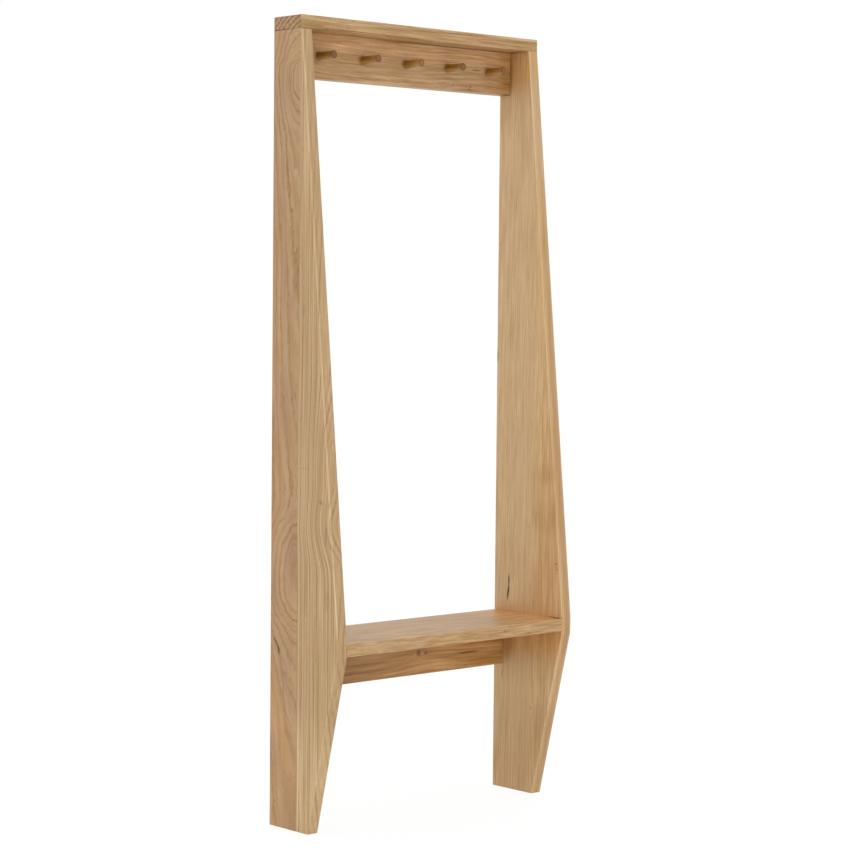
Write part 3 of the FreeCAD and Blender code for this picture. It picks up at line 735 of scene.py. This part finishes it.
def pressed_beech(wood):
    """Beech dowels, cut, pressed and left raw: pale and pinkish, with short brown flecks."""
    flecks_per_mm = 0.6
    fleck_limits = {"From Min": 0.5, "From Max": 0.7}
    material, tree = new_material("pressed_beech")
    seen = add(tree, "ShaderNodeTexCoord").outputs["Object"]
    flecks = add(tree, "ShaderNodeTexNoise", {"Vector": seen, "Scale": flecks_per_mm / MM, "Detail": MEDIUM})
    share = add(tree, "ShaderNodeMapRange", {"Value": flecks, **fleck_limits})
    colour = add(tree, "ShaderNodeMix", {
        MIX_FACTOR: share, MIX_A: opaque(wood), MIX_B: opaque(wood, DEEP_TINT)}, **COLOUR_MIX)
    surface = add(tree, "ShaderNodeBsdfPrincipled", {"Base Color": colour, "Roughness": 0.7})
    add(tree, "ShaderNodeOutputMaterial", {"Surface": surface})
    return material


def plated_steel(metal):
    """Turned steel with bright zinc plating: silvery, with faint clouds in its shine."""
    clouds_per_mm = 0.5
    cloud_detail = 3.0
    cloud_tint = (0.8, 0.84, 0.9)
    material, tree = new_material("zinc_plated_steel")
    seen = add(tree, "ShaderNodeTexCoord").outputs["Object"]
    clouds = add(tree, "ShaderNodeTexNoise", {
        "Vector": seen, "Scale": clouds_per_mm / MM, "Detail": cloud_detail})
    rough = add(tree, "ShaderNodeMapRange", {"Value": clouds, "To Min": 0.2, "To Max": 0.42})
    colour = add(tree, "ShaderNodeMix", {
        MIX_FACTOR: clouds, MIX_A: opaque(metal), MIX_B: opaque(metal, cloud_tint)}, **COLOUR_MIX)
    surface = add(tree, "ShaderNodeBsdfPrincipled", {
        "Base Color": colour, "Metallic": 1.0, "Roughness": rough})
    add(tree, "ShaderNodeOutputMaterial", {"Surface": surface})
    return material


def cast_zinc(metal):
    """Zinc as it leaves the die: dull grey with a fine frosted grain."""
    grains_per_mm = 1.4
    grain_depth = 0.05 * MM
    flows_per_mm = 0.15
    flow_tint = (0.72, 0.73, 0.76)
    material, tree = new_material("die_cast_zinc")
    seen = add(tree, "ShaderNodeTexCoord").outputs["Object"]
    grain = add(tree, "ShaderNodeTexNoise", {"Vector": seen, "Scale": grains_per_mm / MM, "Detail": MEDIUM})
    flow = add(tree, "ShaderNodeTexNoise", {"Vector": seen, "Scale": flows_per_mm / MM, "Detail": COARSE})
    colour = add(tree, "ShaderNodeMix", {
        MIX_FACTOR: flow, MIX_A: opaque(metal), MIX_B: opaque(metal, flow_tint)}, **COLOUR_MIX)
    relief = add(tree, "ShaderNodeBump", {
        "Strength": RELIEF_STRENGTH, "Distance": grain_depth, "Height": grain})
    surface = add(tree, "ShaderNodeBsdfPrincipled", {
        "Base Color": colour, "Metallic": 1.0, "Roughness": 0.5, "Normal": relief})
    add(tree, "ShaderNodeOutputMaterial", {"Surface": surface})
    return material


def dress_boards(scene, nodes, wood_name=None):
    """Give each board its own oak, in a colour of its own or in the one that is named."""
    look = scene.wardrobe_wood
    for node in nodes:
        wood = getattr(look, wood_name or node)
        dress(node, oiled_oak("oiled_oak_" + node, node, BOARDS[node], wood, look))


class WARDROBE_OT_side_panels(bpy.types.Operator):
    """Give the four staves of the side panels their oak"""

    bl_idname = "wardrobe.side_panels"
    bl_label = "Side panels"

    def execute(self, context):
        staves = ("left_rear_stave", "left_front_stave", "right_rear_stave", "right_front_stave")
        dress_boards(context.scene, staves)
        return {"FINISHED"}


class WARDROBE_OT_top_board(bpy.types.Operator):
    """Give the top board its oak"""

    bl_idname = "wardrobe.top_board"
    bl_label = "Top board"

    def execute(self, context):
        dress_boards(context.scene, ("top_board",))
        return {"FINISHED"}


class WARDROBE_OT_peg_rail(bpy.types.Operator):
    """Give the peg rail its oak"""

    bl_idname = "wardrobe.peg_rail"
    bl_label = "Peg rail"

    def execute(self, context):
        dress_boards(context.scene, ("peg_rail",))
        return {"FINISHED"}


class WARDROBE_OT_shelf(bpy.types.Operator):
    """Give the two staves of the shelf their oak"""

    bl_idname = "wardrobe.shelf"
    bl_label = "Shelf"

    def execute(self, context):
        dress_boards(context.scene, ("shelf_rear_stave", "shelf_front_stave"), "shelf")
        return {"FINISHED"}


class WARDROBE_OT_apron(bpy.types.Operator):
    """Give the apron its oak"""

    bl_idname = "wardrobe.apron"
    bl_label = "Apron"

    def execute(self, context):
        dress_boards(context.scene, ("apron",))
        return {"FINISHED"}


class WARDROBE_OT_coat_pegs(bpy.types.Operator):
    """Give each coat peg its turned oak"""

    bl_idname = "wardrobe.coat_pegs"
    bl_label = "Coat pegs"

    def execute(self, context):
        look = context.scene.wardrobe_wood
        for node, tone in PEG_TONES.items():
            wood = [share * tone for share in look.pegs]
            dress(node, oiled_oak("turned_oak_" + node, node, PEG, wood, look))
        return {"FINISHED"}


class WARDROBE_OT_dowels_and_plugs(bpy.types.Operator):
    """Give the dowels their beech and the plugs their oak"""

    bl_idname = "wardrobe.dowels_and_plugs"
    bl_label = "Dowels and plugs"

    def execute(self, context):
        look = context.scene.wardrobe_wood
        beech = pressed_beech(context.scene.wardrobe_fittings.dowels)
        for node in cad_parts:
            if node.endswith("dowels"):
                dress(node, beech)
        dress("screw_plugs", oiled_oak("plug_oak", "screw_plugs", PLUG, look.plugs, look))
        return {"FINISHED"}


class WARDROBE_OT_metal_fittings(bpy.types.Operator):
    """Give the bolts and screws their plated steel and the cam discs their zinc"""

    bl_idname = "wardrobe.metal_fittings"
    bl_label = "Metal fittings"

    def execute(self, context):
        colours = context.scene.wardrobe_fittings
        steel = plated_steel(colours.steel)
        zinc = cast_zinc(colours.discs)
        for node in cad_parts:
            if node.endswith(("bolts", "screws")):
                dress(node, steel)
            elif node.endswith("discs"):
                dress(node, zinc)
        return {"FINISHED"}


class WARDROBE_OT_stage(bpy.types.Operator):
    """Lay the floor and set the lights and the camera"""

    bl_idname = "wardrobe.stage"
    bl_label = "Stage"

    def execute(self, context):
        scene = context.scene
        scene.view_settings.view_transform = "Standard"
        make_floor(scene)
        make_world(scene)
        make_key(scene)
        make_camera(scene)
        return {"FINISHED"}


def seen_directly(tree):
    """1 for a ray from the camera, also if mirrored or bent, and 0 for the light on a matt surface."""
    paths = add(tree, "ShaderNodeLightPath").outputs
    mirrored = add(tree, "ShaderNodeMath", {
        0: paths["Is Glossy Ray"], 1: paths["Is Transmission Ray"]}, operation="MAXIMUM")
    return add(tree, "ShaderNodeMath", {0: paths["Is Camera Ray"], 1: mirrored}, operation="MAXIMUM")


def make_floor(scene):
    """A wide sheet of white paper under the feet, which looks white and keeps a faint shadow."""
    stage = scene.wardrobe_stage
    half = stage.floor_half
    corners = [(-half, -half, 0), (half, -half, 0), (half, half, 0), (-half, half, 0)]
    mesh = bpy.data.meshes.new("floor")
    mesh.from_pydata(corners, [], [(0, 1, 2, 3)])
    floor = bpy.data.objects.new("floor", mesh)
    scene.collection.objects.link(floor)
    material, tree = new_material("white_paper_sweep")
    paper = add(tree, "ShaderNodeBsdfDiffuse", {"Color": opaque(stage.floor_colour)})
    white = add(tree, "ShaderNodeEmission", {"Color": WHITE, "Strength": stage.paper_glow})
    share = add(tree, "ShaderNodeMath", {0: seen_directly(tree), 1: PAPER_WHITE}, operation="MULTIPLY")
    both = add(tree, "ShaderNodeMixShader", {0: share, 1: paper, 2: white})
    add(tree, "ShaderNodeOutputMaterial", {"Surface": both})
    mesh.materials.append(material)


def make_world(scene):
    """White surroundings: full white where they are seen or mirrored, and an even fill elsewhere."""
    world = bpy.data.worlds.new("white_studio")
    world.use_nodes = True
    tree = world.node_tree
    tree.nodes.clear()
    strength = add(tree, "ShaderNodeMapRange", {
        "Value": seen_directly(tree), "To Min": scene.wardrobe_stage.surroundings})
    sky = add(tree, "ShaderNodeBackground", {"Color": WHITE, "Strength": strength})
    add(tree, "ShaderNodeOutputWorld", {"Surface": sky})
    scene.world = world


def make_key(scene):
    """A large soft light between the camera and the wardrobe, turned to the wardrobe's middle."""
    stage = scene.wardrobe_stage
    data = bpy.data.lights.new("key", "AREA")
    data.shape = "DISK"
    data.size = stage.key_size
    data.energy = stage.key_power
    key = bpy.data.objects.new("key", data)
    key.location = stage.key_place
    middle = (Vector(CAD_BOX[0]) + Vector(CAD_BOX[1])) / 2
    key.rotation_euler = (middle - key.location).to_track_quat("-Z", "Y").to_euler()
    scene.collection.objects.link(key)


def make_camera(scene):
    """The photograph's camera: its place, and its turn, tilt and roll."""
    stage = scene.wardrobe_stage
    turn, tilt, roll = stage.camera_turn, stage.camera_tilt, stage.camera_roll
    ahead = Vector((math.sin(turn) * math.cos(tilt), math.cos(turn) * math.cos(tilt), -math.sin(tilt)))
    right = Vector((math.cos(turn), -math.sin(turn), 0))
    up = right.cross(ahead)
    side = right * math.cos(roll) + up * math.sin(roll)
    over = up * math.cos(roll) - right * math.sin(roll)
    data = bpy.data.cameras.new("camera")
    data.sensor_fit = "HORIZONTAL"
    data.sensor_width = SENSOR_WIDTH
    data.lens = stage.camera_lens
    camera = bpy.data.objects.new("camera", data)
    facing = Matrix((side, over, -ahead)).transposed().to_4x4()
    camera.matrix_world = Matrix.Translation(stage.camera_place) @ facing
    scene.collection.objects.link(camera)
    scene.camera = camera


OPERATORS = (
    WARDROBE_OT_side_panels, WARDROBE_OT_top_board, WARDROBE_OT_peg_rail, WARDROBE_OT_shelf,
    WARDROBE_OT_apron, WARDROBE_OT_coat_pegs, WARDROBE_OT_dowels_and_plugs, WARDROBE_OT_metal_fittings,
    WARDROBE_OT_stage,
)
GROUPS = {
    "wardrobe_wood": WARDROBE_PG_wood,
    "wardrobe_fittings": WARDROBE_PG_fittings,
    "wardrobe_stage": WARDROBE_PG_stage,
}


class WARDROBE_PT_sidebar(bpy.types.Panel):
    """The wardrobe's operators and settings"""

    bl_label = "Open frame wardrobe"
    bl_space_type = "VIEW_3D"
    bl_region_type = "UI"
    bl_category = "Wardrobe"

    def draw(self, context):
        column = self.layout.column()
        for operator in OPERATORS:
            column.operator(operator.bl_idname)
        for name, group in GROUPS.items():
            box = self.layout.box()
            for setting in group.__annotations__:
                box.prop(getattr(context.scene, name), setting)


def register():
    for item in (*GROUPS.values(), *OPERATORS, WARDROBE_PT_sidebar):
        bpy.utils.register_class(item)
    for name, group in GROUPS.items():
        setattr(bpy.types.Scene, name, PointerProperty(type=group))


def unregister():
    for name in GROUPS:
        delattr(bpy.types.Scene, name)
    for item in reversed((*GROUPS.values(), *OPERATORS, WARDROBE_PT_sidebar)):
        bpy.utils.unregister_class(item)


def main():
    register()
    steps = bpy.ops.wardrobe
    steps.side_panels()
    steps.top_board()
    steps.peg_rail()
    steps.shelf()
    steps.apron()
    steps.coat_pegs()
    steps.dowels_and_plugs()
    steps.metal_fittings()
    steps.stage()


if __name__ == "__main__":
    main()
